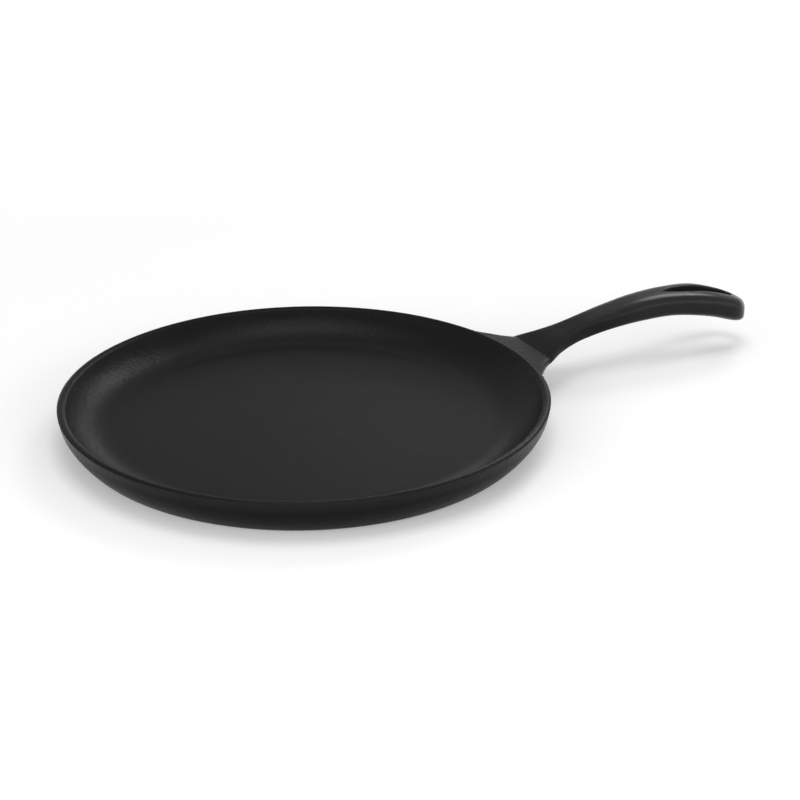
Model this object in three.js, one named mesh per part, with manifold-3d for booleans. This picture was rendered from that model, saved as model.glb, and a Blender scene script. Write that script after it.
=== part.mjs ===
// A cast iron pan for tapioca and flat cakes: a shallow round dish with a crowned lip, a flat apron that spreads
// from the lip, and an arched handle with a hanging slot. The whole of it is poured as one casting.
// Lengths are in millimetres and +Z is up. The origin is on the dish's axis, on the face the pan stands on.
// The handle runs along +X.
import * as THREE from 'three';
import { mergeVertices } from 'three/addons/utils/BufferGeometryUtils.js';
import { LoftGeometry } from 'three/addons/geometries/LoftGeometry.js';
import Module from 'manifold-3d';

const wasm = await Module();
wasm.setup();

// Dish
const RIM_RADIUS = 130;
const DISH_HEIGHT = 20.7;
const WALL_LEAN = 11.7; // how far the foot of the wall stands in from the lip
const WALL_BELLY = 2.04; // power of the wall's outward curve: upright at the lip, leaning at the foot
const FOOT_ROUND = 1.2;
const LIP_WIDTH = 4.2;
const LIP_ROUND = 0.8; // on the lip's inner edge
const LIP_BEVEL_DROP = 0.75; // from its crest the lip falls to its inner edge by this much
const LIP_CREST_WIDTH = 0.4;
const LIP_CROWN_WIDTH = 1.8; // towards the outside the lip rounds down over this width
const LIP_CROWN_DROP = 1.3;
const FLOOR_THICKNESS = 6;
const COVE_WIDTH = 25; // from the inside of the lip to the edge of the flat cooking floor

// Apron, the flat web between the lip and the handle
const APRON_REACH = 10; // from the lip out to the crease where the handle starts to rise
const APRON_SPREAD = 37; // half its width where it leaves the lip
const APRON_THICKNESS = 4;
const APRON_EDGE = 1.2;
const APRON_TUCK = 0.9; // how far its end stands in from the handle's flanks

// Handle
const HANDLE_REACH = 154.6; // from the lip to the tip
const ROOT_DEPTH = 6; // how deep the handle's root is buried in the wall
const TIP_ROUND_PLAN = 17;
const TIP_ROUND_SIDE = 5.6;
const TIP_BLUNTNESS = 1.9; // power of the tip's rounding: 2 is an ellipse, more is squarer
const SEAM_HEIGHT = 0.42; // widest line of the section, as a share of its height
const CROWN_ROOT = 6; // power of the upper half of the section, nearly flat at the root
const CROWN_GRIP = 3.5; // and crowned along the grip
const BELLY = 2.4; // power of the lower half of the section

// Stations from the crease to the tip. `share` is the way along, `top` and `under` are heights from the lip's
// level, and `half` is half of the width.
const STATIONS = [
  { share: 0.0, top: 0.0, under: -5.0, half: 20.1 },
  { share: 0.075, top: 4.4, under: -3.4, half: 13.8 },
  { share: 0.15, top: 7.7, under: -1.5, half: 10.2 },
  { share: 0.235, top: 11.6, under: 0.2, half: 8.2 },
  { share: 0.345, top: 14.8, under: 2.9, half: 9.4 },
  { share: 0.48, top: 17.7, under: 4.2, half: 10.5 },
  { share: 0.63, top: 18.1, under: 4.0, half: 12.2 },
  { share: 0.785, top: 15.6, under: 0.2, half: 16.0 },
  { share: 0.915, top: 9.8, under: -5.7, half: 17.0 },
  { share: 1.0, top: 4.7, under: -9.4, half: 14.0 },
];
const ROOT = { top: -5.0, under: -9.0, half: 24.0 };

// Hanging slot, a teardrop with its point towards the dish
const SLOT_LENGTH = 48.6;
const SLOT_HALF_WIDTH = 5.6;
const SLOT_TO_TIP = 8.7;
const SLOT_FLARE = 8; // pull of the point's end on the side curves: less is blunter
const SLOT_SHOULDER = 18; // and of the round end

// Facets
const DISH_FACETS = 96;
const WALL_FACETS = 8;
const ROUND_FACETS = 3;
const CROWN_FACETS = 5;
const COVE_FACETS = 9;
const CURVE_FACETS = 10;
const HANDLE_RINGS = 46;
const SECTION_FACETS = 28;
const CUT_MARGIN = 10; // how far a cutting body runs past what it cuts

const CREASE_X = RIM_RADIUS + APRON_REACH;
const TIP_X = RIM_RADIUS + HANDLE_REACH;

// Turns a closed geometry into a solid body that can be joined and cut.
function toBody(geometry) {
  const bare = new THREE.BufferGeometry();
  bare.setAttribute('position', geometry.attributes.position);
  bare.setIndex(geometry.index);
  const merged = mergeVertices(bare);
  const mesh = new wasm.Mesh({
    numProp: 3,
    vertProperties: new Float32Array(merged.attributes.position.array),
    triVerts: new Uint32Array(merged.index.array),
  });
  return new wasm.Manifold(mesh);
}

// Turns a solid body back into a geometry.
function toGeometry(body) {
  const { vertProperties, triVerts } = body.getMesh();
  const geometry = new THREE.BufferGeometry();
  geometry.setAttribute('position', new THREE.BufferAttribute(vertProperties, 3));
  geometry.setIndex(new THREE.BufferAttribute(triVerts, 1));
  geometry.computeVertexNormals();
  return geometry;
}

// Spins a profile, given as radius and height, round the dish's axis.
function spin(profile) {
  const geometry = new THREE.LatheGeometry(profile, DISH_FACETS);
  geometry.rotateX(Math.PI / 2);
  return toBody(geometry);
}

// Points on a quarter of an ellipse, from one angle to another, without the first one.
function arc(centre, radii, from, to, steps) {
  const points = [];
  for (let i = 1; i <= steps; i += 1) {
    const angle = from + ((to - from) * i) / steps;
    const x = centre.x + radii.x * Math.cos(angle);
    const y = centre.y + radii.y * Math.sin(angle);
    points.push(new THREE.Vector2(x, y));
  }
  return points;
}

// Outside of the wall at a height: it bellies out from the foot and is upright at the lip.
function wallRadius(height) {
  return RIM_RADIUS - WALL_LEAN * Math.pow(1 - height / DISH_HEIGHT, WALL_BELLY);
}

// The dish as a full disc, before its hollow is cut.
function dishOutside() {
  const foot = new THREE.QuadraticBezierCurve(
    new THREE.Vector2(wallRadius(0) - FOOT_ROUND, 0),
    new THREE.Vector2(wallRadius(0), 0),
    new THREE.Vector2(wallRadius(FOOT_ROUND), FOOT_ROUND),
  );
  const profile = [new THREE.Vector2(0, 0), ...foot.getPoints(ROUND_FACETS)];
  const lipLow = DISH_HEIGHT - LIP_CROWN_DROP;
  for (let i = 1; i <= WALL_FACETS; i += 1) {
    const height = FOOT_ROUND + ((lipLow - FOOT_ROUND) * i) / WALL_FACETS;
    profile.push(new THREE.Vector2(wallRadius(height), height));
  }
  const crownCentre = new THREE.Vector2(wallRadius(lipLow) - LIP_CROWN_WIDTH, lipLow);
  const crownRadii = new THREE.Vector2(LIP_CROWN_WIDTH, LIP_CROWN_DROP);
  profile.push(...arc(crownCentre, crownRadii, 0, Math.PI / 2, CROWN_FACETS));
  profile.push(new THREE.Vector2(0, DISH_HEIGHT));
  return spin(profile);
}

// The hollow of the dish: a flat floor, a cove that is one arc, and the lip's rounded inner edge and bevel.
function dishHollow() {
  const floorRadius = RIM_RADIUS - LIP_WIDTH - COVE_WIDTH;
  const edge = new THREE.Vector2(RIM_RADIUS - LIP_WIDTH, DISH_HEIGHT - LIP_BEVEL_DROP);
  const crest = new THREE.Vector2(RIM_RADIUS - LIP_CROWN_WIDTH - LIP_CREST_WIDTH, DISH_HEIGHT);
  const rise = edge.y - FLOOR_THICKNESS;
  const radius = (COVE_WIDTH ** 2 + rise ** 2) / (2 * rise); // leaves the floor smoothly and meets the edge
  const turn = 2 * Math.atan2(rise, COVE_WIDTH) - LIP_ROUND / radius;
  const coveCentre = new THREE.Vector2(floorRadius, FLOOR_THICKNESS + radius);
  const coveRadii = new THREE.Vector2(radius, radius);
  const cove = arc(coveCentre, coveRadii, -Math.PI / 2, turn - Math.PI / 2, COVE_FACETS);
  const bevelStart = edge.clone().lerp(crest, LIP_ROUND / edge.distanceTo(crest));
  const rounding = new THREE.QuadraticBezierCurve(cove[cove.length - 1], edge, bevelStart);
  const profile = [
    new THREE.Vector2(0, FLOOR_THICKNESS),
    new THREE.Vector2(floorRadius, FLOOR_THICKNESS),
    ...cove,
    ...rounding.getPoints(ROUND_FACETS).slice(1),
    crest,
    new THREE.Vector2(crest.x, DISH_HEIGHT + CUT_MARGIN),
    new THREE.Vector2(0, DISH_HEIGHT + CUT_MARGIN),
  ];
  return spin(profile);
}

// The apron: a flat web, level with the lip. Its sides leave along the lip's circle and sweep in to the handle.
function apron() {
  const inner = RIM_RADIUS - LIP_WIDTH - COVE_WIDTH / 2;
  const leave = Math.sqrt(RIM_RADIUS ** 2 - APRON_SPREAD ** 2);
  const sweep = APRON_SPREAD - APRON_REACH / 2;
  const bend = (RIM_RADIUS ** 2 - APRON_SPREAD * sweep) / leave; // on the lip's tangent
  const end = CREASE_X + APRON_EDGE;
  const waist = STATIONS[0].half - APRON_TUCK;
  const shape = new THREE.Shape();
  shape.moveTo(inner, -APRON_SPREAD);
  shape.lineTo(leave, -APRON_SPREAD);
  shape.quadraticCurveTo(bend, -sweep, end, -waist);
  shape.lineTo(end, waist);
  shape.quadraticCurveTo(bend, sweep, leave, APRON_SPREAD);
  shape.lineTo(inner, APRON_SPREAD);
  shape.closePath();
  const geometry = new THREE.ExtrudeGeometry(shape, {
    depth: APRON_THICKNESS - 2 * APRON_EDGE,
    bevelThickness: APRON_EDGE,
    bevelSize: APRON_EDGE,
    bevelOffset: -APRON_EDGE,
    bevelSegments: ROUND_FACETS,
    curveSegments: CURVE_FACETS,
  });
  geometry.translate(0, 0, DISH_HEIGHT - APRON_THICKNESS + APRON_EDGE);
  return toBody(geometry);
}

// Smooth lines through the stations, against the way out: the two heights, and half of the width.
const places = [RIM_RADIUS - ROOT_DEPTH, ...STATIONS.map((s) => CREASE_X + (TIP_X - CREASE_X) * s.share)];
const stations = [ROOT, ...STATIONS];
const heightLine = new THREE.CatmullRomCurve3(
  stations.map((station, i) => new THREE.Vector3(places[i], station.top, station.under)),
  false,
  'catmullrom',
);
const widthLine = new THREE.CatmullRomCurve3(
  stations.map((station, i) => new THREE.Vector3(places[i], station.half, 0)),
  false,
  'catmullrom',
);

// How much of the full section is left near the tip, which is rounded over `length`.
function tipTaper(x, length) {
  const t = Math.min(Math.max((x - (TIP_X - length)) / length, 0), 1);
  return Math.pow(1 - Math.pow(t, TIP_BLUNTNESS), 1 / TIP_BLUNTNESS);
}

// One cross section of the handle, counterclockwise as seen from the tip: two half ellipses, squarer or
// rounder by their power, that meet on the seam line.
function handleSection(t) {
  const line = heightLine.getPoint(t);
  const x = line.x;
  const middle = (line.y + line.z) / 2;
  const side = tipTaper(x, TIP_ROUND_SIDE);
  const top = middle + (line.y - middle) * side;
  const under = middle + (line.z - middle) * side;
  const seam = under + (top - under) * SEAM_HEIGHT;
  const half = widthLine.getPoint(t).y * tipTaper(x, TIP_ROUND_PLAN);
  const grip = THREE.MathUtils.smoothstep(x, CREASE_X + APRON_REACH, CREASE_X + 6 * APRON_REACH);
  const crown = THREE.MathUtils.lerp(CROWN_ROOT, CROWN_GRIP, grip);
  const points = [];
  for (let i = 0; i < SECTION_FACETS; i += 1) {
    const angle = (2 * Math.PI * i) / SECTION_FACETS;
    const upper = i <= SECTION_FACETS / 2;
    const power = upper ? crown : BELLY;
    const across = Math.sign(Math.cos(angle)) * Math.pow(Math.abs(Math.cos(angle)), 2 / power);
    const rise = Math.pow(Math.abs(Math.sin(angle)), 2 / power);
    const height = upper ? seam + (top - seam) * rise : seam + (under - seam) * rise;
    points.push(new THREE.Vector3(x, half * across, DISH_HEIGHT + height));
  }
  return points;
}

// The handle's bar, from its root in the wall to the tip, with its rings closing up towards the tip.
function handleBar() {
  const sections = [];
  for (let i = 0; i < HANDLE_RINGS; i += 1) {
    sections.push(handleSection(Math.sin(((i / HANDLE_RINGS) * Math.PI) / 2)));
  }
  return toBody(new LoftGeometry(sections, { capStart: true, capEnd: true }));
}

// The hanging slot's cutter.
function slotCutter() {
  const outer = TIP_X - SLOT_TO_TIP;
  const inner = outer - SLOT_LENGTH;
  const round = outer - SLOT_HALF_WIDTH;
  const flare = inner + SLOT_FLARE;
  const shoulder = round - SLOT_SHOULDER;
  const half = SLOT_HALF_WIDTH;
  const shape = new THREE.Shape();
  shape.moveTo(inner, 0);
  shape.bezierCurveTo(flare, -half, shoulder, -half, round, -half);
  shape.absarc(round, 0, half, -Math.PI / 2, Math.PI / 2, false);
  shape.bezierCurveTo(shoulder, half, flare, half, inner, 0);
  const deep = 2 * (DISH_HEIGHT + CUT_MARGIN);
  const options = { depth: deep, bevelEnabled: false, curveSegments: CURVE_FACETS };
  const geometry = new THREE.ExtrudeGeometry(shape, options);
  return toBody(geometry);
}

// Everything outward of the crease, where the handle begins.
function beyondCrease() {
  const size = 2 * (TIP_X + CUT_MARGIN);
  const geometry = new THREE.BoxGeometry(size, size, size);
  geometry.translate(CREASE_X + size / 2, 0, 0);
  return toBody(geometry);
}

const casting = dishOutside().add(apron()).add(handleBar()).subtract(dishHollow()).subtract(slotCutter());
const outward = beyondCrease();

// A named region of the casting in dark seasoned iron.
function region(name, body) {
  const iron = new THREE.MeshStandardMaterial({ color: 0x2c2c2d, roughness: 0.62, metalness: 0.35 });
  const mesh = new THREE.Mesh(toGeometry(body), iron);
  mesh.name = name;
  return mesh;
}

const pan = new THREE.Group();
pan.add(region('pan_body', casting.subtract(outward)));
pan.add(region('handle', casting.intersect(outward)));

export default pan;
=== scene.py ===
# The looks of a cast iron pan for tapioca and flat cakes: a shallow round dish with a crowned lip, a flat
# apron that spreads from the lip, and an arched handle with a hanging slot. The iron is poured in one, so
# the skin runs unbroken over both of its named regions.
# Sizes are in millimetres and are scaled to metres when a mesh is made. +Z is up, the origin is on the
# dish's axis on the face the pan stands on, and the handle runs along +X.
import math
from collections import namedtuple
from functools import lru_cache

import bmesh
import bpy
import numpy as np
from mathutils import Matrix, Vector, noise


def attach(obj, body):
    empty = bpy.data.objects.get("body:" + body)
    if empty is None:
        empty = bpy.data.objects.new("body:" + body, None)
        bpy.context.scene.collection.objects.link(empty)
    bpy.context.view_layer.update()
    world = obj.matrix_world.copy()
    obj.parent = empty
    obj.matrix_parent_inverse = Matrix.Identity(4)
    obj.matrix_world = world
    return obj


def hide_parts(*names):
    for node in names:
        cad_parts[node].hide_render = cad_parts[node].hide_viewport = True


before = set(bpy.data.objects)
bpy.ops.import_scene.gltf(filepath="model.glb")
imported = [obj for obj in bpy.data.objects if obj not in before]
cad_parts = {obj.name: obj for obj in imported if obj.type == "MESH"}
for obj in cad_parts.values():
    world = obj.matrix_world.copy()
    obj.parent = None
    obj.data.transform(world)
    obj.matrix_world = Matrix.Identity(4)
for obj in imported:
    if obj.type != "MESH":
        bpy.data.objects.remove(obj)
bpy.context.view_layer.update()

MM = 0.001

# Dish
RIM_RADIUS = 130.0
DISH_HEIGHT = 20.7
WALL_LEAN = 11.7  # how far the foot of the wall stands in from the lip
WALL_BELLY = 2.04  # power of the wall's outward curve: upright at the lip, leaning at the foot
FOOT_ROUND = 1.2
LIP_WIDTH = 4.2
LIP_ROUND = 0.8  # on the lip's inner edge
LIP_BEVEL_DROP = 0.75  # from its crest the lip falls to its inner edge by this much
LIP_CREST_WIDTH = 0.4
LIP_CROWN_WIDTH = 1.8  # towards the outside the lip rounds down over this width
LIP_CROWN_DROP = 1.3
FLOOR_THICKNESS = 6.0
COVE_WIDTH = 25.0  # from the inside of the lip to the edge of the flat cooking floor

# Apron, the flat web between the lip and the handle
APRON_REACH = 10.0  # from the lip out to the crease where the handle starts to rise
APRON_SPREAD = 37.0  # half its width where it leaves the lip
APRON_THICKNESS = 4.0
APRON_EDGE = 1.2
BELLY_SLOPE = 2.0  # climb of the handle's belly under the apron, beside the handle
CAST_FILLET = 2.2  # rounding of the inner corners that the iron's mould has

# Handle
HANDLE_REACH = 154.6  # from the lip to the tip
ROOT_DEPTH = 6.0  # how deep the handle's root is buried in the wall
TIP_ROUND_PLAN = 17.0
TIP_ROUND_SIDE = 5.6
TIP_BLUNTNESS = 1.9  # power of the tip's rounding: 2 is an ellipse, more is squarer
TIP_BULGE = 0.9  # how much of the way to the tip the last section's face swells
SEAM_HEIGHT = 0.42  # widest line of the section, as a share of its height
CROWN_ROOT = 6.0  # power of the upper half of the section, nearly flat at the root
CROWN_GRIP = 3.5  # and crowned along the grip
BELLY = 2.4  # power of the lower half of the section

# Stations from the handle's root to its tip: the place along it, from the crease as a share of its reach,
# the heights of its top and underside from the lip's level, and half of its width
Station = namedtuple("Station", "share top under half")
STATIONS = (
    Station(0.0, 0.0, -5.0, 20.1),
    Station(0.075, 4.4, -3.4, 13.8),
    Station(0.15, 7.7, -1.5, 10.2),
    Station(0.235, 11.6, 0.2, 8.2),
    Station(0.345, 14.8, 2.9, 9.4),
    Station(0.48, 17.7, 4.2, 10.5),
    Station(0.63, 18.1, 4.0, 12.2),
    Station(0.785, 15.6, 0.2, 16.0),
    Station(0.915, 9.8, -5.7, 17.0),
    Station(1.0, 4.7, -9.4, 14.0),
)
ROOT = (-5.0, -9.0, 24.0)  # top, underside and half width where the handle starts inside the wall

# Hanging slot, a teardrop with its point towards the dish
SLOT_LENGTH = 48.6
SLOT_HALF_WIDTH = 5.6
SLOT_TO_TIP = 8.7
SLOT_FLARE = 8.0  # pull of the point's end on the side curves: less is blunter
SLOT_SHOULDER = 18.0  # and of the round end
SLOT_EDGE = 0.9  # rounding of the slot's rim

# Spacing of the mesh before it is subdivided once
WEB_COLUMNS = 16  # across the apron and the handle
RIM_COLUMNS = 168  # round the rest of the rim; with the apron's, a multiple of eight
NOTCH_STEP_DEG = 1.0  # first step round the rim from the apron's side, short to keep that corner crisp
FLOOR_DISC = 87.0  # radius of the middle of the floor, and of the underside
FLOOR_RINGS = (92.0, 96.5, 99.5)
COVE_STEPS = 10
WALL_STEPS = 5
WEB_ROWS = (0.12, 0.27, 0.44, 0.61, 0.77, 0.9, 1.0)  # from the lip to the crease, as shares
ROOT_ROWS = (1.4, 3.4, 6.0, 9.0)  # past the crease
GRIP_STEP = 3.3
SLOT_COLUMNS = 6  # columns on each side of the middle that give way to the slot
SLOT_ROWS = 15
SLOT_FINE_STEPS = 400  # along the slot's side curve, to measure its length
SLOT_COLLAR = 2.2  # distance of the row that rings the slot, in rim roundings
SLOT_WALL_ROWS = (0.25, 0.5, 0.75)  # down the slot's wall, as shares
SLOT_MARGIN = 6.0  # from the slot's point to where the rows start to open round it
SLOT_MARGIN_TIP = 4.5
TIP_ROWS = (3.5, 2.35, 1.35, 0.65)  # distances from the tip

# Shares of the apron's reach past which its sections change into the handle's
SECTION_TURNS = 0.5
SIDES_DRAW_IN = 0.7
ROWS_STRAIGHTEN = 0.8

# Searches that close in on a value
SPAN_HALVINGS = 40  # of the span in which a section is looked for
FOOT_PASSES = 6  # over the height at which the fillet meets the wall

EDGE_LOW = DISH_HEIGHT - LIP_BEVEL_DROP
CROWN_LOW = DISH_HEIGHT - LIP_CROWN_DROP
LIP_INSIDE = RIM_RADIUS - LIP_WIDTH
CREST_INSIDE = RIM_RADIUS - LIP_CROWN_WIDTH - LIP_CREST_WIDTH
FLOOR_RADIUS = LIP_INSIDE - COVE_WIDTH
APRON_ANGLE = math.asin(APRON_SPREAD / RIM_RADIUS)
CREASE_X = RIM_RADIUS + APRON_REACH
CROWN_STARTS = CREASE_X + APRON_REACH  # where the handle's top starts to gain its crown
CROWN_FULL = CREASE_X + 6 * APRON_REACH
TIP_X = RIM_RADIUS + HANDLE_REACH
SLOT_OUTER = TIP_X - SLOT_TO_TIP
SLOT_INNER = SLOT_OUTER - SLOT_LENGTH
SLOT_ROUND_X = SLOT_OUTER - SLOT_HALF_WIDTH  # middle of the slot's round end
ARC_MIDDLE = 1 - math.sqrt(0.5)  # depth of a rounded edge's middle on each side, as a share of its radius


def mix(a, b, share):
    return a + (b - a) * share


def smooth_step(low, high, value):
    share = min(max((value - low) / (high - low), 0.0), 1.0)
    return share * share * (3 - 2 * share)


def soft_least(a, b, reach):
    """The lesser of two heights, with the corner where they cross rounded off over `reach`."""
    close = max(reach - abs(a - b), 0.0) / reach
    return min(a, b) - close * close * reach / 4


def squircle(angle_deg, power):
    """Width and height shares at an angle on a quarter of an ellipse that its power makes squarer."""
    angle = math.radians(angle_deg)
    return math.cos(angle) ** (2 / power), math.sin(angle) ** (2 / power)


def wall_radius(height):
    """Outside of the wall at a height."""
    return RIM_RADIUS - WALL_LEAN * (1 - height / DISH_HEIGHT) ** WALL_BELLY


# The camera

CAMERA_FROM_RIM = (-389.4, -849.8, 406.0)  # from the middle of the rim
CAMERA_TILT_DEG = 66.28
CAMERA_TURN_DEG = -27.7
LENS = 86.5
SENSOR = 36.0


def make_camera():
    """A long lens that looks down on the dish from its front, with the handle going off to the right."""
    lens = bpy.data.cameras.new("camera")
    lens.sensor_width = SENSOR
    lens.lens = LENS
    camera = bpy.data.objects.new("camera", lens)
    camera.location = (Vector(CAMERA_FROM_RIM) + Vector((0, 0, DISH_HEIGHT))) * MM
    camera.rotation_euler = (math.radians(CAMERA_TILT_DEG), 0, math.radians(CAMERA_TURN_DEG))
    bpy.context.scene.collection.objects.link(camera)
    bpy.context.scene.camera = camera


# The handle's bar

Bar = namedtuple("Bar", "top under seam half crown")


def station_knots():
    """The stations as rows of place, top, underside and half width, with one more past each end."""
    rows = [(RIM_RADIUS - ROOT_DEPTH, *ROOT)]
    for station in STATIONS:
        place = mix(CREASE_X, TIP_X, station.share)
        rows.append((place, station.top, station.under, station.half))
    knots = np.array(rows)
    before = 2 * knots[0] - knots[1]
    after = 2 * knots[-1] - knots[-2]
    return np.vstack([before, knots, after])


KNOTS = station_knots()


def smooth_line(span, t):
    """A point on the smooth line through the stations, `t` of the way from one to the next."""
    a, b, c, d = KNOTS[span - 1 : span + 3]
    return b + 0.5 * t * (c - a + t * (2 * a - 5 * b + 4 * c - d + t * (3 * (b - c) + d - a)))


def tip_taper(x, length):
    """How much of the full section is left near the tip, which is rounded over `length`."""
    t = min(max((x - (TIP_X - length)) / length, 0.0), 1.0)
    return (1 - t**TIP_BLUNTNESS) ** (1 / TIP_BLUNTNESS)


@lru_cache(maxsize=None)
def bar_at(x):
    """The handle's section at a place: its heights from the lip's level, half width and crown."""
    span = int(np.searchsorted(KNOTS[1:-1, 0], x, side="right"))
    span = min(max(span, 1), len(KNOTS) - 3)
    low, high = 0.0, 1.0
    for _ in range(SPAN_HALVINGS):
        t = (low + high) / 2
        if smooth_line(span, t)[0] < x:
            low = t
        else:
            high = t
    _, top, under, half = smooth_line(span, t)
    side = tip_taper(x, TIP_ROUND_SIDE)
    middle = (top + under) / 2
    top = mix(middle, top, side)
    under = mix(middle, under, side)
    grip = smooth_step(CROWN_STARTS, CROWN_FULL, x)
    return Bar(
        top,
        under,
        mix(under, top, SEAM_HEIGHT),
        half * tip_taper(x, TIP_ROUND_PLAN),
        mix(CROWN_ROOT, CROWN_GRIP, grip),
    )


def bar_top(x, y):
    """Height of the handle's top."""
    bar = bar_at(x)
    across = min(abs(y) / bar.half, 1.0)
    return DISH_HEIGHT + mix(bar.seam, bar.top, (1 - across**bar.crown) ** (1 / bar.crown))


def bar_under(x, y):
    """Height of the handle's underside."""
    bar = bar_at(x)
    across = min(abs(y) / bar.half, 1.0)
    return DISH_HEIGHT + mix(bar.seam, bar.under, (1 - across**BELLY) ** (1 / BELLY))


# Each section of the apron and the handle is one loop of points: the top from -Y to +Y, down the +Y side,
# the underside back to -Y, and up the -Y side. The loops all have as many points.

TOP_CORNER_DEG = 48  # where the top ends and the side starts, as angles on the section
UNDER_CORNER_DEG = 46
UPPER_SIDE_DEG = (30, 12)
LOWER_SIDE_DEG = (8, 28)
SIDE_POINTS = len(UPPER_SIDE_DEG) + len(LOWER_SIDE_DEG)
ACROSS = [2 * i / WEB_COLUMNS - 1 for i in range(WEB_COLUMNS + 1)]
UNDER_START = WEB_COLUMNS + 1 + SIDE_POINTS
UNDER_END = UNDER_START + WEB_COLUMNS


def close_loop(top, side, under):
    """Puts a section together from its top and underside, both from -Y to +Y, and its +Y side, down."""
    other_side = [Vector((p.x, -p.y, p.z)) for p in reversed(side)]
    return top + side + under[::-1] + other_side


def bar_loop(x):
    """A section of the handle."""
    bar = bar_at(x)
    top_reach = bar.half * squircle(TOP_CORNER_DEG, bar.crown)[0]
    under_reach = bar.half * squircle(UNDER_CORNER_DEG, BELLY)[0]
    top = [Vector((x, v * top_reach, bar_top(x, v * top_reach))) for v in ACROSS]
    under = [Vector((x, v * under_reach, bar_under(x, v * under_reach))) for v in ACROSS]
    side = []
    for angle in UPPER_SIDE_DEG:
        across, rise = squircle(angle, bar.crown)
        side.append(Vector((x, bar.half * across, DISH_HEIGHT + mix(bar.seam, bar.top, rise))))
    for angle in LOWER_SIDE_DEG:
        across, drop = squircle(angle, BELLY)
        side.append(Vector((x, bar.half * across, DISH_HEIGHT + mix(bar.seam, bar.under, drop))))
    return close_loop(top, side, under)


def apron_side(share):
    """A point in plan on the apron's +Y side, from the lip to the crease, and which way is out."""
    start = Vector((RIM_RADIUS * math.cos(APRON_ANGLE), APRON_SPREAD))
    end = Vector((CREASE_X, STATIONS[0].half))
    sweep = APRON_SPREAD - APRON_REACH / 2
    bend = Vector(((RIM_RADIUS**2 - APRON_SPREAD * sweep) / start.x, sweep))  # on the lip's tangent
    rest = 1 - share
    point = rest**2 * start + 2 * rest * share * bend + share**2 * end
    along = rest * (bend - start) + share * (end - bend)
    return point, Vector((-along.y, along.x)).normalized()


def apron_flank(edge, out):
    """Points down the apron's side at one place, over its two rounded edges."""
    corner = APRON_EDGE * ARC_MIDDLE
    low = DISH_HEIGHT - APRON_THICKNESS
    levels = (
        (corner, DISH_HEIGHT - corner),
        (0, DISH_HEIGHT - APRON_EDGE),
        (0, low + APRON_EDGE),
        (corner, low + corner),
    )
    points = []
    for depth, height in levels:
        place = edge - out * depth
        points.append(Vector((place.x, place.y, height)))
    return points


def web_under(x, y):
    """Underside of the apron: flat, with the handle's belly running under it into the wall."""
    bar = bar_at(x)
    across = min(abs(y) / bar.half, 1.0)
    belly = mix(bar.seam, bar.under, (1 - across**BELLY) ** (1 / BELLY))
    belly += BELLY_SLOPE * max(abs(y) - bar.half, 0.0)
    return DISH_HEIGHT + soft_least(-APRON_THICKNESS, belly, CAST_FILLET)


def web_loop(share):
    """A section of the apron, which turns into the handle's own section towards the crease."""
    edge, out = apron_side(share)
    middle = mix(RIM_RADIUS - LIP_CROWN_WIDTH, CREASE_X, share)
    inset = edge - out * APRON_EDGE
    top = []
    under = []
    for v in ACROSS:
        x = mix(middle, inset.x, v * v)
        top.append(Vector((x, v * inset.y, DISH_HEIGHT)))
        under.append(Vector((x, v * inset.y, web_under(x, v * inset.y))))
    turned = smooth_step(SECTION_TURNS, 1.0, share)
    straight = smooth_step(ROWS_STRAIGHTEN, 1.0, share)
    spread = mix(edge.y / STATIONS[0].half, 1, smooth_step(SIDES_DRAW_IN, 1.0, share))
    loop = []
    for web, bar in zip(close_loop(top, apron_flank(edge, out), under), bar_loop(CREASE_X)):
        x = mix(web.x, CREASE_X, straight)
        loop.append(Vector((x, mix(web.y, bar.y * spread, turned), mix(web.z, bar.z, turned))))
    return loop


# The casting's cage

BODY, HANDLE = 0, 1  # regions of the casting


class Cage:
    """Points and faces of the casting before it is subdivided, with the region of each face."""

    def __init__(self):
        self.points = []
        self.faces = []
        self.regions = []

    def add(self, points):
        start = len(self.points)
        self.points.extend(points)
        return list(range(start, len(self.points)))

    def strip(self, a, b, region, closed=True, skip=()):
        """Faces between two rows of points, without those whose number is in `skip`."""
        count = len(a) if closed else len(a) - 1
        for i in range(count):
            if i not in skip:
                j = (i + 1) % len(a)
                self.faces.append((a[i], a[j], b[j], b[i]))
                self.regions.append(region)


def rim_angles():
    """Angles of the columns round the dish: those across the apron, then the rest of the way round."""
    across = [APRON_ANGLE * v for v in ACROSS]
    start = APRON_ANGLE + math.radians(NOTCH_STEP_DEG)
    end = 2 * math.pi - start
    count = RIM_COLUMNS - 1
    return across + [mix(start, end, i / (count - 1)) for i in range(count)]


ANGLES = rim_angles()


def ring(radius, height):
    """Points round the dish, one for each column."""
    return [Vector((radius * math.cos(a), radius * math.sin(a), height)) for a in ANGLES]


def arc_points(centre, radii, start_deg, end_deg, steps):
    """Radius and height of points on an arc, without its first one."""
    points = []
    for i in range(1, steps + 1):
        angle = math.radians(mix(start_deg, end_deg, i / steps))
        points.append((centre[0] + radii[0] * math.cos(angle), centre[1] + radii[1] * math.sin(angle)))
    return points


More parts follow.
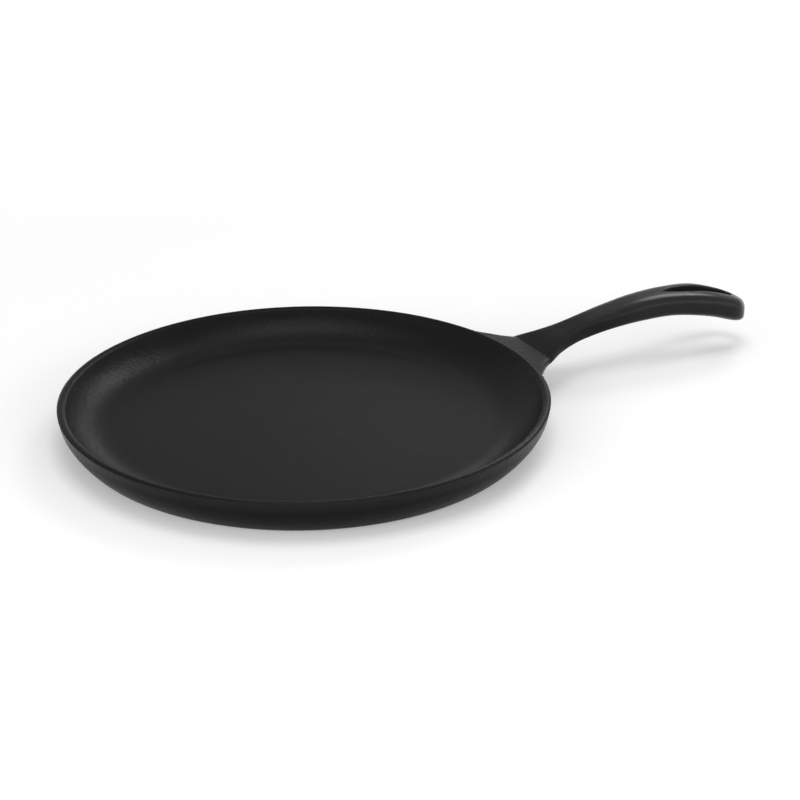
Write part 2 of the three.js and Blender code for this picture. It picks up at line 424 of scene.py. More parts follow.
def add_disc(cage, border, radius, height, region):
    """Fills a ring with square rings that shrink to the middle, so that no face is a sliver."""
    layers = len(border) // 8  # each square ring has eight points more than the one inside it
    angles = ANGLES + [ANGLES[0] + 2 * math.pi]

    def place(u, v):
        layer = max(abs(u), abs(v))
        if layer == 0:
            return Vector((0, 0, height))
        if u == layer and v < layer:
            step = v + layer
        elif v == layer and u > -layer:
            step = 3 * layer - u
        elif u == -layer and v > -layer:
            step = 5 * layer - v
        else:
            step = 7 * layer + u
        if layer == layers:
            return border[step % len(border)]
        at = step * layers / layer
        angle = mix(angles[int(at)], angles[int(at) + 1], at % 1)
        reach = radius * layer / layers
        return Vector((reach * math.cos(angle), reach * math.sin(angle), height))

    steps = range(-layers, layers + 1)
    index = {}
    for u in steps:
        for v in steps:
            found = place(u, v)
            index[u, v] = found if isinstance(found, int) else cage.add([found])[0]
    for u in steps[:-1]:
        for v in steps[:-1]:
            cage.faces.append((index[u, v], index[u + 1, v], index[u + 1, v + 1], index[u, v + 1]))
            cage.regions.append(region)


def inside_profile():
    """Radius and height of points from the floor, up the cove's arc and over the lip's bevel and crest."""
    profile = [(radius, FLOOR_THICKNESS) for radius in (FLOOR_DISC, *FLOOR_RINGS, FLOOR_RADIUS)]
    rise = EDGE_LOW - FLOOR_THICKNESS
    radius = (COVE_WIDTH**2 + rise**2) / (2 * rise)
    turn = math.degrees(2 * math.atan2(rise, COVE_WIDTH) - LIP_ROUND / radius)
    centre = (FLOOR_RADIUS, FLOOR_THICKNESS + radius)
    profile += arc_points(centre, (radius, radius), -90, turn - 90, COVE_STEPS)
    edge = Vector((LIP_INSIDE, EDGE_LOW))
    crest = Vector((CREST_INSIDE, DISH_HEIGHT))
    before = Vector(profile[-1])
    after = edge + (crest - edge).normalized() * LIP_ROUND
    rounded = (before + 2 * edge + after) / 4
    return profile + [rounded, after, crest, (RIM_RADIUS - LIP_CROWN_WIDTH, DISH_HEIGHT)]


def add_inside(cage):
    """The floor, the cove and the lip, out to the ring where the lip's outer edge starts to round."""
    rows = [cage.add(ring(*point)) for point in inside_profile()]
    for inner, outer in zip(rows, rows[1:]):
        cage.strip(inner, outer, BODY)
    add_disc(cage, rows[0], FLOOR_DISC, FLOOR_THICKNESS, BODY)
    return rows[-1]


def apron_foot(angle):
    """The point on the wall where the fillet under the apron ends."""
    height = DISH_HEIGHT - APRON_THICKNESS
    for _ in range(FOOT_PASSES):
        radius = wall_radius(height)
        x, y = radius * math.cos(angle), radius * math.sin(angle)
        height = web_under(x, y) - CAST_FILLET
    return Vector((x, y, height))


def add_wall(cage, line, row):
    """The wall's rows below a line of points, the foot's rounding and the underside."""
    above = row
    for step in range(1, WALL_STEPS + 1):
        points = []
        for start, angle in zip(line, ANGLES):
            height = mix(start.z, FOOT_ROUND, step / WALL_STEPS)
            radius = wall_radius(height)
            points.append(Vector((radius * math.cos(angle), radius * math.sin(angle), height)))
        below = cage.add(points)
        cage.strip(above, below, BODY)
        above = below
    foot = wall_radius(0)
    base = [(foot - FOOT_ROUND / 4, FOOT_ROUND / 4), (foot - FOOT_ROUND, 0), (foot - 2 * FOOT_ROUND, 0)]
    for radius, height in base + [(mix(FLOOR_DISC, foot, 0.5), 0), (FLOOR_DISC, 0)]:
        below = cage.add(ring(radius, height))
        cage.strip(above, below, BODY)
        above = below
    add_disc(cage, above, FLOOR_DISC, 0, BODY)


def add_outside(cage, lip):
    """The lip's outer edge, the wall and the underside. Returns the loop that the apron grows from."""
    free = range(WEB_COLUMNS + 1, len(ANGLES))
    beside = [WEB_COLUMNS, *free, 0]
    centre = (wall_radius(CROWN_LOW) - LIP_CROWN_WIDTH, CROWN_LOW)
    edge = arc_points(centre, (LIP_CROWN_WIDTH, LIP_CROWN_DROP), 90, 0, SIDE_POINTS)
    foot_height = DISH_HEIGHT - APRON_THICKNESS - CAST_FILLET
    rows = [[lip[i] for i in beside]]
    for radius, height in edge:
        points = ring(radius, height)
        rows.append(cage.add([points[i] for i in beside]))
    line = ring(wall_radius(foot_height), foot_height)
    for i in range(WEB_COLUMNS + 1):
        line[i] = apron_foot(ANGLES[i])
    under = cage.add(line)
    rows.append([under[i] for i in beside])
    for upper, lower in zip(rows, rows[1:]):
        cage.strip(upper, lower, BODY, closed=False)
    add_wall(cage, line, under)

    plus_side = [row[0] for row in rows[1:-1]]
    minus_side = [row[-1] for row in rows[-2:0:-1]]
    top = lip[: WEB_COLUMNS + 1]
    return top + plus_side + under[WEB_COLUMNS::-1] + minus_side


def handle_places():
    """Places of the sections past the crease, and the numbers of the two that bound the slot's window."""
    window = SLOT_INNER - SLOT_MARGIN
    window_end = SLOT_OUTER + SLOT_MARGIN_TIP
    places = [CREASE_X + past for past in ROOT_ROWS]
    start = places[-1]
    count = round((window - start) / GRIP_STEP)
    places += [mix(start, window, i / count) for i in range(1, count + 1)]
    first_row = len(places) - 1
    places += [mix(window, window_end, i / SLOT_ROWS) for i in range(1, SLOT_ROWS + 1)]
    last_row = len(places) - 1
    places += [TIP_X - back for back in TIP_ROWS]
    return places, first_row, last_row


def slot_side():
    """Points along the slot's -Y side in plan, from its point to where its round end starts."""
    start = Vector((SLOT_INNER, 0))
    flare = Vector((SLOT_INNER + SLOT_FLARE, -SLOT_HALF_WIDTH))
    shoulder = Vector((SLOT_ROUND_X - SLOT_SHOULDER, -SLOT_HALF_WIDTH))
    end = Vector((SLOT_ROUND_X, -SLOT_HALF_WIDTH))
    fine = []
    for i in range(SLOT_FINE_STEPS + 1):
        t = i / SLOT_FINE_STEPS
        r = 1 - t
        fine.append(r**3 * start + 3 * r * r * t * flare + 3 * r * t * t * shoulder + t**3 * end)
    length = np.concatenate([[0], np.cumsum([(b - a).length for a, b in zip(fine, fine[1:])])])
    places = [i * SLOT_EDGE for i in range(SLOT_COLUMNS)]
    point_end = SLOT_COLUMNS * SLOT_EDGE
    places += [mix(point_end, length[-1], i / SLOT_ROWS) for i in range(SLOT_ROWS)]
    x = np.interp(places, length, [p.x for p in fine])
    y = np.interp(places, length, [p.y for p in fine])
    return [Vector(point) for point in zip(x, y)]


def slot_outline():
    """Points round the slot in plan with their directions into the iron, from its point by way of -Y."""
    half = slot_side()
    for i in range(SLOT_COLUMNS + 1):
        angle = math.radians(mix(-90, 0, i / SLOT_COLUMNS))
        x = SLOT_ROUND_X + SLOT_HALF_WIDTH * math.cos(angle)
        half.append(Vector((x, SLOT_HALF_WIDTH * math.sin(angle))))
    points = half + [Vector((p.x, -p.y)) for p in half[-2:0:-1]]
    outs = []
    for i, point in enumerate(points):
        along = points[(i + 1) % len(points)] - points[i - 1]
        outs.append(Vector((along.y, -along.x)).normalized())
    return points, outs


def window_border(loops, first_row, last_row, column):
    """The points round the slot's window, in the order of the slot's outline. `column` gives a point's
    number in its loop from its place across."""
    middle = WEB_COLUMNS // 2
    low, high = middle - SLOT_COLUMNS, middle + SLOT_COLUMNS
    first, last = loops[first_row], loops[last_row]
    border = [first[column(i)] for i in range(middle, low, -1)]
    border += [loops[row][column(low)] for row in range(first_row, last_row)]
    border += [last[column(i)] for i in range(low, high)]
    border += [loops[row][column(high)] for row in range(last_row, first_row, -1)]
    border += [first[column(i)] for i in range(high, middle, -1)]
    return border


def add_slot_rim(cage, border, surface, inward):
    """Rows from a window's border over the slot's rounded rim. Returns the last, at the slot's wall."""
    outline, outs = slot_outline()
    corner = SLOT_EDGE * ARC_MIDDLE
    collar = [p + out * SLOT_COLLAR * SLOT_EDGE for p, out in zip(outline, outs)]
    far = [Vector(cage.points[i][:2]) for i in border]
    plans = [([(a + b) / 2 for a, b in zip(collar, far)], 0), (collar, 0)]
    for away, depth in ((SLOT_EDGE, 0), (corner, corner), (0, SLOT_EDGE)):
        plans.append(([p + out * away for p, out in zip(outline, outs)], depth))
    before = border
    for plan, depth in plans:
        points = [Vector((p.x, p.y, surface(p.x, p.y) + inward * depth)) for p in plan]
        after = cage.add(points)
        cage.strip(before, after, HANDLE)
        before = after
    return before


def add_slot(cage, loops, first_row, last_row):
    """The slot's rounded rims on the top and the underside, and the wall through the handle."""
    above = window_border(loops, first_row, last_row, lambda i: i)
    below = window_border(loops, first_row, last_row, lambda i: UNDER_END - i)
    upper = add_slot_rim(cage, above, bar_top, -1)
    lower = add_slot_rim(cage, below, bar_under, 1)
    before = upper
    for share in SLOT_WALL_ROWS:
        after = cage.add([mix(cage.points[a], cage.points[b], share) for a, b in zip(upper, lower)])
        cage.strip(before, after, HANDLE)
        before = after
    cage.strip(before, lower, HANDLE)


def add_tip(cage, loop):
    """Closes the last section with rows of faces that bulge to the tip."""
    rows = [loop[: WEB_COLUMNS + 1]]
    for level in range(SIDE_POINTS):
        plus = cage.points[loop[WEB_COLUMNS + 1 + level]]
        minus = cage.points[loop[-1 - level]]
        rise = 1 - 2 * (level + 1) / (SIDE_POINTS + 1)
        inner = []
        for v in ACROSS[1:-1]:
            point = mix(minus, plus, (v + 1) / 2)
            bulge = (1 - v * v) * (1 - rise * rise)
            inner.append(Vector((mix(point.x, TIP_X, TIP_BULGE * bulge), point.y, point.z)))
        made = cage.add(inner)
        rows.append([loop[-1 - level], *made, loop[WEB_COLUMNS + 1 + level]])
    rows.append(loop[UNDER_START : UNDER_END + 1][::-1])
    for upper, lower in zip(rows, rows[1:]):
        cage.strip(upper, lower, HANDLE, closed=False)


def add_handle(cage, root):
    """The apron and the handle, loop by loop from the wall to the tip."""
    before = root
    for share in WEB_ROWS:
        after = cage.add(web_loop(share))
        cage.strip(before, after, BODY)
        before = after
    places, first_row, last_row = handle_places()
    loops = [cage.add(bar_loop(x)) for x in places]
    cage.strip(before, loops[0], HANDLE)
    middle = WEB_COLUMNS // 2
    window = range(middle - SLOT_COLUMNS, middle + SLOT_COLUMNS)
    opened = [*window, *(UNDER_END - 1 - i for i in window)]
    for row, (a, b) in enumerate(zip(loops, loops[1:])):
        skip = opened if first_row <= row < last_row else ()
        cage.strip(a, b, HANDLE, skip=skip)
    add_slot(cage, loops, first_row, last_row)
    add_tip(cage, loops[-1])


def casting_cage():
    """The whole pan, dish first, as one closed cage."""
    cage = Cage()
    lip = add_inside(cage)
    root = add_outside(cage, lip)
    add_handle(cage, root)
    return cage


# From the cage to the two regions

PUSHES = 3
SKIN_SINK = 0.03  # keeps the skin inside the flat faces of the plain model
WAVE_DEPTH = 0.07  # how far the cast surface wanders, which gives its highlights their unevenness
WAVE_LENGTHS = (34.0, 13.0)
BEVEL_DULL = 0.6
FLANK_DULL = 0.55
FLANK_TILT = (0.2, 0.6)  # upward share of the skin's direction, below which it is flank and above which top
WALL_DULL_FADE = 7.0  # below the lip, over which the oil thins out
WALL_REACH = 1.0  # what lies as near to the wall's curve counts as wall
UNDERSIDE_HEIGHT = 0.8  # what lies lower counts as underside


def read_points(collection, name):
    """Points or directions of a mesh as rows of three numbers."""
    values = np.empty(len(collection) * 3, np.float32)
    collection.foreach_get(name, values)
    return values.reshape(-1, 3).astype(float)


def smoothed(holder):
    """The holder's mesh as its subdivision leaves it."""
    return bpy.data.meshes.new_from_object(holder.evaluated_get(bpy.context.evaluated_depsgraph_get()))


def subdivided(cage):
    """The cage as a mesh, subdivided once, in millimetres. A face's region is its material number.
    Subdividing pulls the surface inside its cage, so the cage is first pushed out until the surface runs
    through its points."""
    mesh = bpy.data.meshes.new("cage")
    mesh.from_pydata(cage.points, [], cage.faces)
    shaper = bmesh.new()
    shaper.from_mesh(mesh)
    bmesh.ops.recalc_face_normals(shaper, faces=shaper.faces)
    shaper.to_mesh(mesh)
    shaper.free()
    mesh.materials.append(bpy.data.materials.new("body region"))
    mesh.materials.append(bpy.data.materials.new("handle region"))
    mesh.polygons.foreach_set("material_index", cage.regions)
    holder = bpy.data.objects.new("cage", mesh)
    bpy.context.scene.collection.objects.link(holder)
    smoother = holder.modifiers.new("subdivision", "SUBSURF")
    smoother.levels = 1
    wanted = read_points(mesh.vertices, "co")
    pushed = wanted.copy()
    for _ in range(PUSHES):
        pushed += wanted - read_points(smoothed(holder).vertices, "co")[: len(wanted)]
        mesh.vertices.foreach_set("co", pushed.astype(np.float32).ravel())
        mesh.update()
    skin = smoothed(holder)
    bpy.data.objects.remove(holder)
    return skin


def waved(points, normals):
    """Sinks each point a little into the iron, by slow noise, except on the face that the pan stands on."""
    moved = points.copy()
    for i, (point, normal) in enumerate(zip(points, normals)):
        depth = 0.0
        for length in WAVE_LENGTHS:
            depth += 0.5 + 0.5 * noise.noise(Vector(point) / length)
        depth = SKIN_SINK + depth * WAVE_DEPTH / len(WAVE_LENGTHS)
        depth *= smooth_step(0.0, FOOT_ROUND, point[2])
        moved[i] -= normal * depth
    return moved


def sharpness(points, normals, edges):
    """How strongly the surface bends outward at each point, per millimetre."""
    total = np.zeros(len(points))
    count = np.zeros(len(points))
    for a, b in (edges.T, edges.T[::-1]):
        step = points[a] - points[b]
        bend = 2 * np.einsum("ij,ij->i", normals[a], step) / np.einsum("ij,ij->i", step, step)
        np.add.at(total, a, bend)
        np.add.at(count, a, 1)
    return total / count


def dullness(points, normals):
    """How matt the skin is at each point. The wall's outside is hardly oiled, food dulls the lip's bevel,
    and hands polish the handle on top but not on its flanks."""
    dull = np.zeros(len(points))
    for i, (x, y, height) in enumerate(points):
        radius = math.hypot(x, y)
        from_wall = abs(radius - wall_radius(max(height, 0.0)))
        if x > CREASE_X:
            # On the handle this also keeps the lighter grey, a painted highlight, off its flanks and on its
            # top.
            dull[i] = FLANK_DULL * (1 - smooth_step(*FLANK_TILT, normals[i][2]))
        elif from_wall < WALL_REACH and height < CROWN_LOW:
            dull[i] = smooth_step(0.0, WALL_DULL_FADE, CROWN_LOW - height)
        elif height < UNDERSIDE_HEIGHT:
            dull[i] = 1.0
        elif LIP_INSIDE < radius < CREST_INSIDE + LIP_CREST_WIDTH / 2 and height > EDGE_LOW:
            dull[i] = BEVEL_DULL
    return dull


def cut_border(faces):
    """The points round the opening that the cut leaves, in the order of the face that closes it."""
    sides = set()
    for face in faces:
        sides.update(zip(face, face[1:] + face[:1]))
    following = {b: a for a, b in sides if (b, a) not in sides}
    border = [min(following)]
    while following[border[-1]] != border[0]:
        border.append(following[border[-1]])
    return border


def make_region(name, skin, region, points, normals, looks):
    """One region of the casting as a closed mesh of its own, whose shading runs on over the cut."""
    faces = [tuple(p.vertices) for p in skin.polygons if p.material_index == region]
    cut = cut_border(faces)
    used = sorted({i for face in faces for i in face})
    number = {old: new for new, old in enumerate(used)}
    mesh = bpy.data.meshes.new(name)
    mesh.from_pydata(points[used] * MM, [], [[number[i] for i in face] for face in faces + [cut]])
    mesh.polygons.foreach_set("use_smooth", [True] * len(faces) + [False])
    for look, values in looks.items():
        attribute = mesh.attributes.new(look, "FLOAT", "POINT")
        attribute.data.foreach_set("value", values[used].astype(np.float32))
    cut_numbers = {number[i] for i in cut}
    for edge in mesh.edges:
        edge.use_edge_sharp = cut_numbers.issuperset(edge.vertices)
    outward = (1, 0, 0) if region == BODY else (-1, 0, 0)
    shading = [tuple(normals[i]) for face in faces for i in face]
    shading += [outward] * len(cut)
    mesh.normals_split_custom_set(shading)
    piece = bpy.data.objects.new(name, mesh)
    bpy.context.scene.collection.objects.link(piece)
    return piece


def make_casting():
    """Both regions of the casting, cut apart on the plane of the crease."""
    skin = subdivided(casting_cage())
    points = read_points(skin.vertices, "co")
    points = waved(points, read_points(skin.vertex_normals, "vector"))
    shared = [set(), set()]
    for polygon in skin.polygons:
        shared[polygon.material_index].update(polygon.vertices)
    for i in shared[BODY] & shared[HANDLE]:
        points[i][0] = CREASE_X
    points[:, 2] = np.maximum(points[:, 2], 0)
    skin.vertices.foreach_set("co", points.astype(np.float32).ravel())
    skin.update()
    normals = read_points(skin.vertex_normals, "vector")
    edges = np.array([tuple(edge.vertices) for edge in skin.edges])
    # The edges' bend also sets where the lighter grey goes, a painted highlight as well as bare iron.
    looks = {"edge_bend": np.clip(sharpness(points, normals, edges), 0, 1), "dull": dullness(points, normals)}
    body = make_region("pan_body_iron", skin, BODY, points, normals, looks)
    handle = make_region("handle_iron", skin, HANDLE, points, normals, looks)
    return body, handle


# Materials

def linear(hex_colour):
    """A colour written as sRGB hex, as linear values with alpha."""
    values = []
    for i in (1, 3, 5):
        c = int(hex_colour[i : i + 2], 16) / 255
        values.append(c / 12.92 if c <= 0.04045 else ((c + 0.055) / 1.055) ** 2.4)
    return (*values, 1.0)


def add_node(tree, kind, settings=None, links=None):
    """Adds a node, with its settings, which are properties or values of inputs, and the links into it."""
    node = tree.nodes.new(kind)
    for name, value in (settings or {}).items():
        if isinstance(name, str) and hasattr(node, name):
            setattr(node, name, value)
        else:
            node.inputs[name].default_value = value
    for name, output in (links or {}).items():
        tree.links.new(output, node.inputs[name])
    return node


def new_material(name):
    """A material without nodes, and the tree that they go in."""
    material = bpy.data.materials.new(name)
    material.use_nodes = True
    material.node_tree.nodes.clear()
    return material, material.node_tree


# Relief that the sand mould leaves
GRAIN = 1.8  # the sand's own grains are about 0.3 mm, too fine to show here, so they are drawn coarser
SWELL = 5.0  # slower bumps where the sand was packed unevenly
BUMP_DEPTH = 0.3
PIT_SPACING = 13.0
PIT_SLOPE = (0.02, 0.07)  # from a pit's bottom to its edge, as shares of the spacing
SWELL_SHARE = 0.6  # of the swell's relief beside the whole of the grain's
SMOOTH_HEIGHT = FLOOR_THICKNESS + 0.3  # the cooking floor is scraped smooth up to here
GRITTY_HEIGHT = FLOOR_THICKNESS + 3.0
FLOOR_GRIT = 0.12  # strength of the relief on the cooking floor
CAST_GRIT = 0.8
HELD_GRIT_LOSS = 0.5

# The baked film of oil
MOTTLE = 22.0  # size of the patches where it is thicker or thinner
MOTTLE_SPAN = (0.3, 0.7)  # what the patches' noise mostly keeps within
FILM_DEEP = "#101011"
FILM_THIN = "#171717"
# grey of iron bared on the edges, which also serves as a painted highlight along them
RUBBED_IRON_AND_EDGE_HIGHLIGHT = "#262627"
# grey where hands polish the handle's top, which also serves as a painted highlight on it
HELD_IRON_AND_TOP_HIGHLIGHT = "#262626"
RUBBED_AND_HIGHLIT_BEND = (0.3, 1.2)  # bend per millimetre where an edge starts to lose its film and to take its painted highlight, and where both are full
HELD_AND_HIGHLIT_FROM = CREASE_X  # hands hold the handle from here on, and its top's painted highlight starts here
HELD_AND_HIGHLIT_FULLY = CREASE_X + 70.0
SMOOTHEST = 0.3  # roughness
ROUGHEST = 0.37
HELD_POLISH = 0.1  # off the roughness where hands hold the handle
FILM_GLOSS = 0.15
POLISHED_GLOSS = 0.22
DULL_LOSS = 0.1  # off the gloss where the skin is dull
OIL_IOR = 1.45

PATTERN_LAYERS = 4  # of finer and finer detail in the grain and the mottle
SWELL_LAYERS = 2
LAYER_SHARE = 0.6  # how strong each layer is beside the coarser one


def skin_patterns(tree, place):
    """Grain, swell and mottle from 0 to 1, and what the pits leave whole, which is 0 at a pit's bottom."""
    noises = []
    for size, layers in ((GRAIN, PATTERN_LAYERS), (SWELL, SWELL_LAYERS), (MOTTLE, PATTERN_LAYERS)):
        settings = {"Scale": 1 / (size * MM), "Detail": layers, "Roughness": LAYER_SHARE}
        noises.append(add_node(tree, "ShaderNodeTexNoise", settings, {"Vector": place}).outputs["Fac"])
    settings = {"Scale": 1 / (PIT_SPACING * MM), "Randomness": 1.0}
    from_pit = add_node(tree, "ShaderNodeTexVoronoi", settings, {"Vector": place}).outputs["Distance"]
    settings = {"From Min": PIT_SLOPE[0], "From Max": PIT_SLOPE[1]}
    whole = add_node(tree, "ShaderNodeMapRange", settings, {"Value": from_pit}).outputs["Result"]
    return (*noises, whole)


def skin_wear_and_highlights(tree, along):
    """Shares for bare edges and the handle's polished top, both also painted highlights, and for dull skin.
    """
    edge_bend = add_node(tree, "ShaderNodeAttribute", {"attribute_name": "edge_bend"}).outputs["Fac"]
    dull = add_node(tree, "ShaderNodeAttribute", {"attribute_name": "dull"}).outputs["Fac"]
    settings = {"From Min": RUBBED_AND_HIGHLIT_BEND[0], "From Max": RUBBED_AND_HIGHLIT_BEND[1]}
    rubbed_and_highlit = add_node(tree, "ShaderNodeMapRange", settings, {"Value": edge_bend}).outputs["Result"]
    settings = {"From Min": HELD_AND_HIGHLIT_FROM * MM, "From Max": HELD_AND_HIGHLIT_FULLY * MM}
    reached = add_node(tree, "ShaderNodeMapRange", settings, {"Value": along}).outputs["Result"]
    settings = {"operation": "SUBTRACT", "use_clamp": True}
    held_and_highlit = add_node(tree, "ShaderNodeMath", settings, {0: reached, 1: dull}).outputs[0]
    return rubbed_and_highlit, held_and_highlit, dull


def film_colour(tree, mottle, rubbed_and_highlit, held_and_highlit):
    """Near black, a little paler where the film is thin, and greyer where the edges are bare and where hands
    polish the handle's top. Those greys are also painted highlights.
    """
    settings = {"data_type": "RGBA", 6: linear(FILM_DEEP), 7: linear(FILM_THIN)}
    colour = add_node(tree, "ShaderNodeMix", settings, {0: mottle}).outputs[2]
    # The greys of bare edges and of the polished handle top are painted highlights as well.
    for iron, share in ((RUBBED_IRON_AND_EDGE_HIGHLIGHT, rubbed_and_highlit), (HELD_IRON_AND_TOP_HIGHLIGHT, held_and_highlit)):
        settings = {"data_type": "RGBA", 7: linear(iron)}
        colour = add_node(tree, "ShaderNodeMix", settings, {0: share, 6: colour}).outputs[2]
    return colour


def film_roughness(tree, mottle, held_and_highlit):
    """Patches of the film differ a little, and hands have polished it further."""
    settings = {
        "From Min": MOTTLE_SPAN[0],
        "From Max": MOTTLE_SPAN[1],
        "To Min": SMOOTHEST,
        "To Max": ROUGHEST,
    }
    rough = add_node(tree, "ShaderNodeMapRange", settings, {"Value": mottle}).outputs["Result"]
    settings = {"operation": "MULTIPLY_ADD", 1: -HELD_POLISH}
    return add_node(tree, "ShaderNodeMath", settings, {0: held_and_highlit, 2: rough}).outputs[0]


def film_gloss(tree, rubbed_and_highlit, held_and_highlit, dull):
    """Bare edges and the handle's polished top reflect more, dull skin less."""
    polished = add_node(tree, "ShaderNodeMath", {"operation": "MAXIMUM"}, {0: rubbed_and_highlit, 1: held_and_highlit}).outputs[0]
    settings = {"To Min": FILM_GLOSS, "To Max": POLISHED_GLOSS}
    gloss = add_node(tree, "ShaderNodeMapRange", settings, {"Value": polished}).outputs["Result"]
    settings = {"operation": "MULTIPLY_ADD", 1: -DULL_LOSS}
    return add_node(tree, "ShaderNodeMath", settings, {0: dull, 2: gloss}).outputs[0]


def sand_cast_relief(tree, grain, swell, whole, height, held_and_highlit):
    """Grain over swell with pits in it, smoother on the cooking floor and where hands hold the handle."""
    settings = {"operation": "MULTIPLY_ADD", 1: SWELL_SHARE}
    bumps = add_node(tree, "ShaderNodeMath", settings, {0: swell, 2: grain}).outputs[0]
    bumps = add_node(tree, "ShaderNodeMath", {"operation": "MULTIPLY"}, {0: bumps, 1: whole}).outputs[0]
    settings = {
        "From Min": SMOOTH_HEIGHT * MM,
        "From Max": GRITTY_HEIGHT * MM,
        "To Min": FLOOR_GRIT,
        "To Max": CAST_GRIT,
    }
    grit = add_node(tree, "ShaderNodeMapRange", settings, {"Value": height}).outputs["Result"]
    settings = {"operation": "MULTIPLY_ADD", "use_clamp": True, 1: -HELD_GRIT_LOSS}
    grit = add_node(tree, "ShaderNodeMath", settings, {0: held_and_highlit, 2: grit}).outputs[0]
    links = {"Strength": grit, "Height": bumps}
    return add_node(tree, "ShaderNodeBump", {"Distance": BUMP_DEPTH * MM}, links).outputs["Normal"]


def seasoned_cast_iron():
    """Grey iron poured in a sand mould and baked with oil. The sand leaves a fine grain with a few pits,
    smoothed by use on the cooking floor. The baked oil is a thin black film that hides the metal. It shines
    as oil does and not as bare metal, and the eye meets a deep black with soft, slightly grainy highlights.
    The film is uneven from patch to patch and thinned on the edges, where greyer iron shows; that grey
    is also a painted highlight along the edges. Hands polish it on top of the handle, where it is greyer
    too, partly as a painted highlight, and it is duller on the handle's flanks, on the outside of the wall
    and on the lip's bevel."""
    material, tree = new_material("seasoned sand-cast iron")
    place = add_node(tree, "ShaderNodeTexCoord").outputs["Object"]
    axes = add_node(tree, "ShaderNodeSeparateXYZ", None, {0: place}).outputs
    grain, swell, mottle, whole = skin_patterns(tree, place)
    rubbed_and_highlit, held_and_highlit, dull = skin_wear_and_highlights(tree, axes["X"])
    links = {
        "Base Color": film_colour(tree, mottle, rubbed_and_highlit, held_and_highlit),
        "Specular IOR Level": film_gloss(tree, rubbed_and_highlit, held_and_highlit, dull),
        "Roughness": film_roughness(tree, mottle, held_and_highlit),
        "Normal": sand_cast_relief(tree, grain, swell, whole, axes["Z"], held_and_highlit),
    }
    shader = add_node(tree, "ShaderNodeBsdfPrincipled", {"Metallic": 0.0, "IOR": OIL_IOR}, links)
    add_node(tree, "ShaderNodeOutputMaterial", None, {"Surface": shader.outputs[0]})
    return material


# The studio, in metres

FLOOR_HALF = 12.0
FLOOR_SQUARES = 16
FLOOR_GAP = 0.05 * MM  # keeps its face apart from the face that the pan stands on
FLOOR_PAPER = "#f4f4f4"
FLOOR_LIFT = 0.19  # glow that makes up what the lit paper lacks of white
FLOOR_LIFT_FAR = 0.6  # past the lamps, where the floor is darker
FLOOR_NEAR = 0.35  # the lift grows from this distance to the next
FLOOR_FAR = 1.6
SKY_STRENGTH = 0.39


def matt_floor_paper():
    """White matt paper. What the camera sees of it is lifted to white, and it keeps the pan's shadow."""
    material, tree = new_material("matt white paper")
    paper = add_node(tree, "ShaderNodeBsdfDiffuse", {"Color": linear(FLOOR_PAPER)})
    path = add_node(tree, "ShaderNodeLightPath").outputs
    seen = path["Is Camera Ray"]
    for ray in ("Is Glossy Ray", "Is Transmission Ray"):
        links = {0: seen, 1: path[ray]}
        seen = add_node(tree, "ShaderNodeMath", {"operation": "MAXIMUM"}, links).outputs[0]
    place = add_node(tree, "ShaderNodeTexCoord").outputs["Object"]
    away = add_node(tree, "ShaderNodeVectorMath", {"operation": "LENGTH"}, {0: place}).outputs["Value"]
    settings = {
        "From Min": FLOOR_NEAR,
        "From Max": FLOOR_FAR,
        "To Min": FLOOR_LIFT,
        "To Max": FLOOR_LIFT_FAR,
    }
    lift = add_node(tree, "ShaderNodeMapRange", settings, {"Value": away}).outputs["Result"]
    glow = add_node(tree, "ShaderNodeMath", {"operation": "MULTIPLY"}, {0: seen, 1: lift}).outputs[0]
    white = add_node(tree, "ShaderNodeEmission", {"Color": (1, 1, 1, 1)}, {"Strength": glow})
    both = add_node(tree, "ShaderNodeAddShader", None, {0: paper.outputs[0], 1: white.outputs[0]})
    add_node(tree, "ShaderNodeOutputMaterial", None, {"Surface": both.outputs[0]})
    return material


def make_floor():
    """A wide pale floor under the pan."""
    shaper = bmesh.new()
    bmesh.ops.create_grid(shaper, x_segments=FLOOR_SQUARES, y_segments=FLOOR_SQUARES, size=FLOOR_HALF)
    mesh = bpy.data.meshes.new("floor")
    shaper.to_mesh(mesh)
    shaper.free()
    mesh.materials.append(matt_floor_paper())
    floor = bpy.data.objects.new("floor", mesh)
    floor.location.z = -FLOOR_GAP
    bpy.context.scene.collection.objects.link(floor)


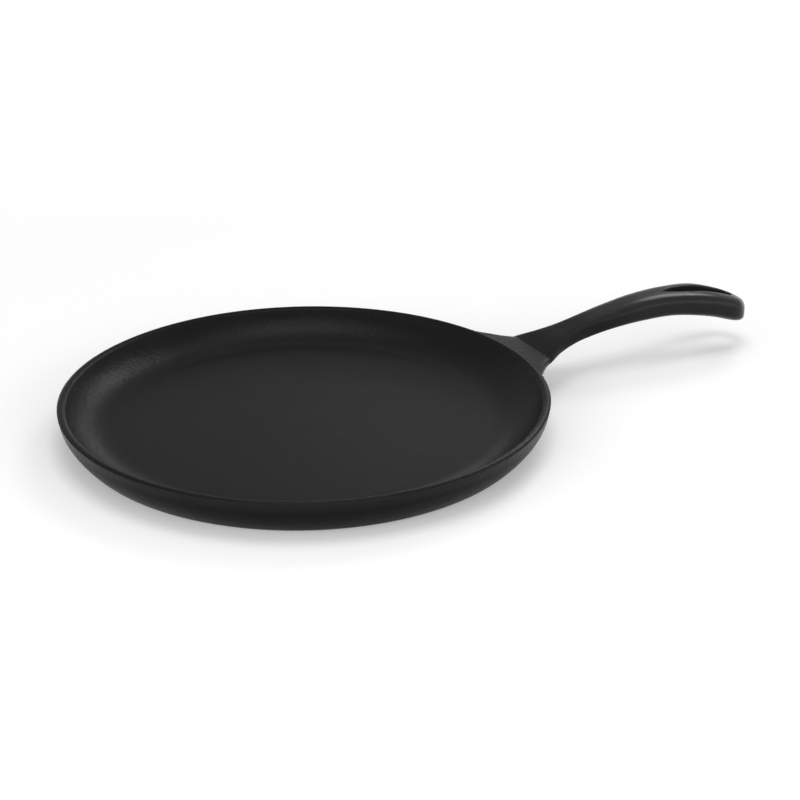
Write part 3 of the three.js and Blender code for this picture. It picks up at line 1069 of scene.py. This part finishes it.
def make_sky():
    """Soft white light from all round."""
    world = bpy.data.worlds.new("studio")
    world.use_nodes = True
    tree = world.node_tree
    tree.nodes.clear()
    sky = add_node(tree, "ShaderNodeBackground", {"Color": (1, 1, 1, 1), "Strength": SKY_STRENGTH})
    add_node(tree, "ShaderNodeOutputWorld", None, {"Surface": sky.outputs[0]})
    bpy.context.scene.world = world


# Softboxes stand round the pan at one distance. Each has the direction that it stands in, counted in
# degrees from +X and up from the floor, its width and height, and its power in watts.
LAMP_AIM = Vector((0.05, 0, 0.02))
LAMP_DISTANCE = 1.7
Softbox = namedtuple("Softbox", "name round_deg up_deg width height power")
SOFTBOXES = (
    Softbox("overhead softbox", 0, 90, 0.9, 0.9, 6.8),
    Softbox("key softbox behind on the right", 36, 36, 0.6, 0.45, 4.4),
    Softbox("low strip behind on the right", 60, 6, 0.4, 0.4, 0.6),
    Softbox("low left softbox", 180, 16, 0.85, 0.85, 6.1),
    Softbox("low front left softbox", 210, 16, 0.85, 0.85, 6.1),
    Softbox("low front softbox", 270, 16, 0.85, 0.85, 6.6),
    Softbox("low front right softbox", 300, 16, 0.85, 0.85, 4.3),
    Softbox("low right softbox", 330, 16, 0.85, 0.85, 3.0),
)


def make_lights():
    """The softboxes, each facing the pan."""
    for box in SOFTBOXES:
        light = bpy.data.lights.new(box.name, "AREA")
        light.shape = "RECTANGLE"
        light.size = box.width
        light.size_y = box.height
        light.energy = box.power
        up = math.radians(box.up_deg)
        around = math.radians(box.round_deg)
        level = math.cos(up)
        towards = Vector((level * math.cos(around), level * math.sin(around), math.sin(up)))
        lamp = bpy.data.objects.new(box.name, light)
        lamp.location = LAMP_AIM + LAMP_DISTANCE * towards
        lamp.rotation_euler = towards.to_track_quat("Z", "Y").to_euler()
        bpy.context.scene.collection.objects.link(lamp)


make_camera()
make_floor()
make_sky()
make_lights()
body, handle = make_casting()
iron = seasoned_cast_iron()
for piece, node in ((body, "pan_body"), (handle, "handle")):
    piece.data.materials.append(iron)
    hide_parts(node)
    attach(piece, "root")
bpy.context.scene.view_settings.view_transform = "Standard"

bpy.context.view_layer.update()
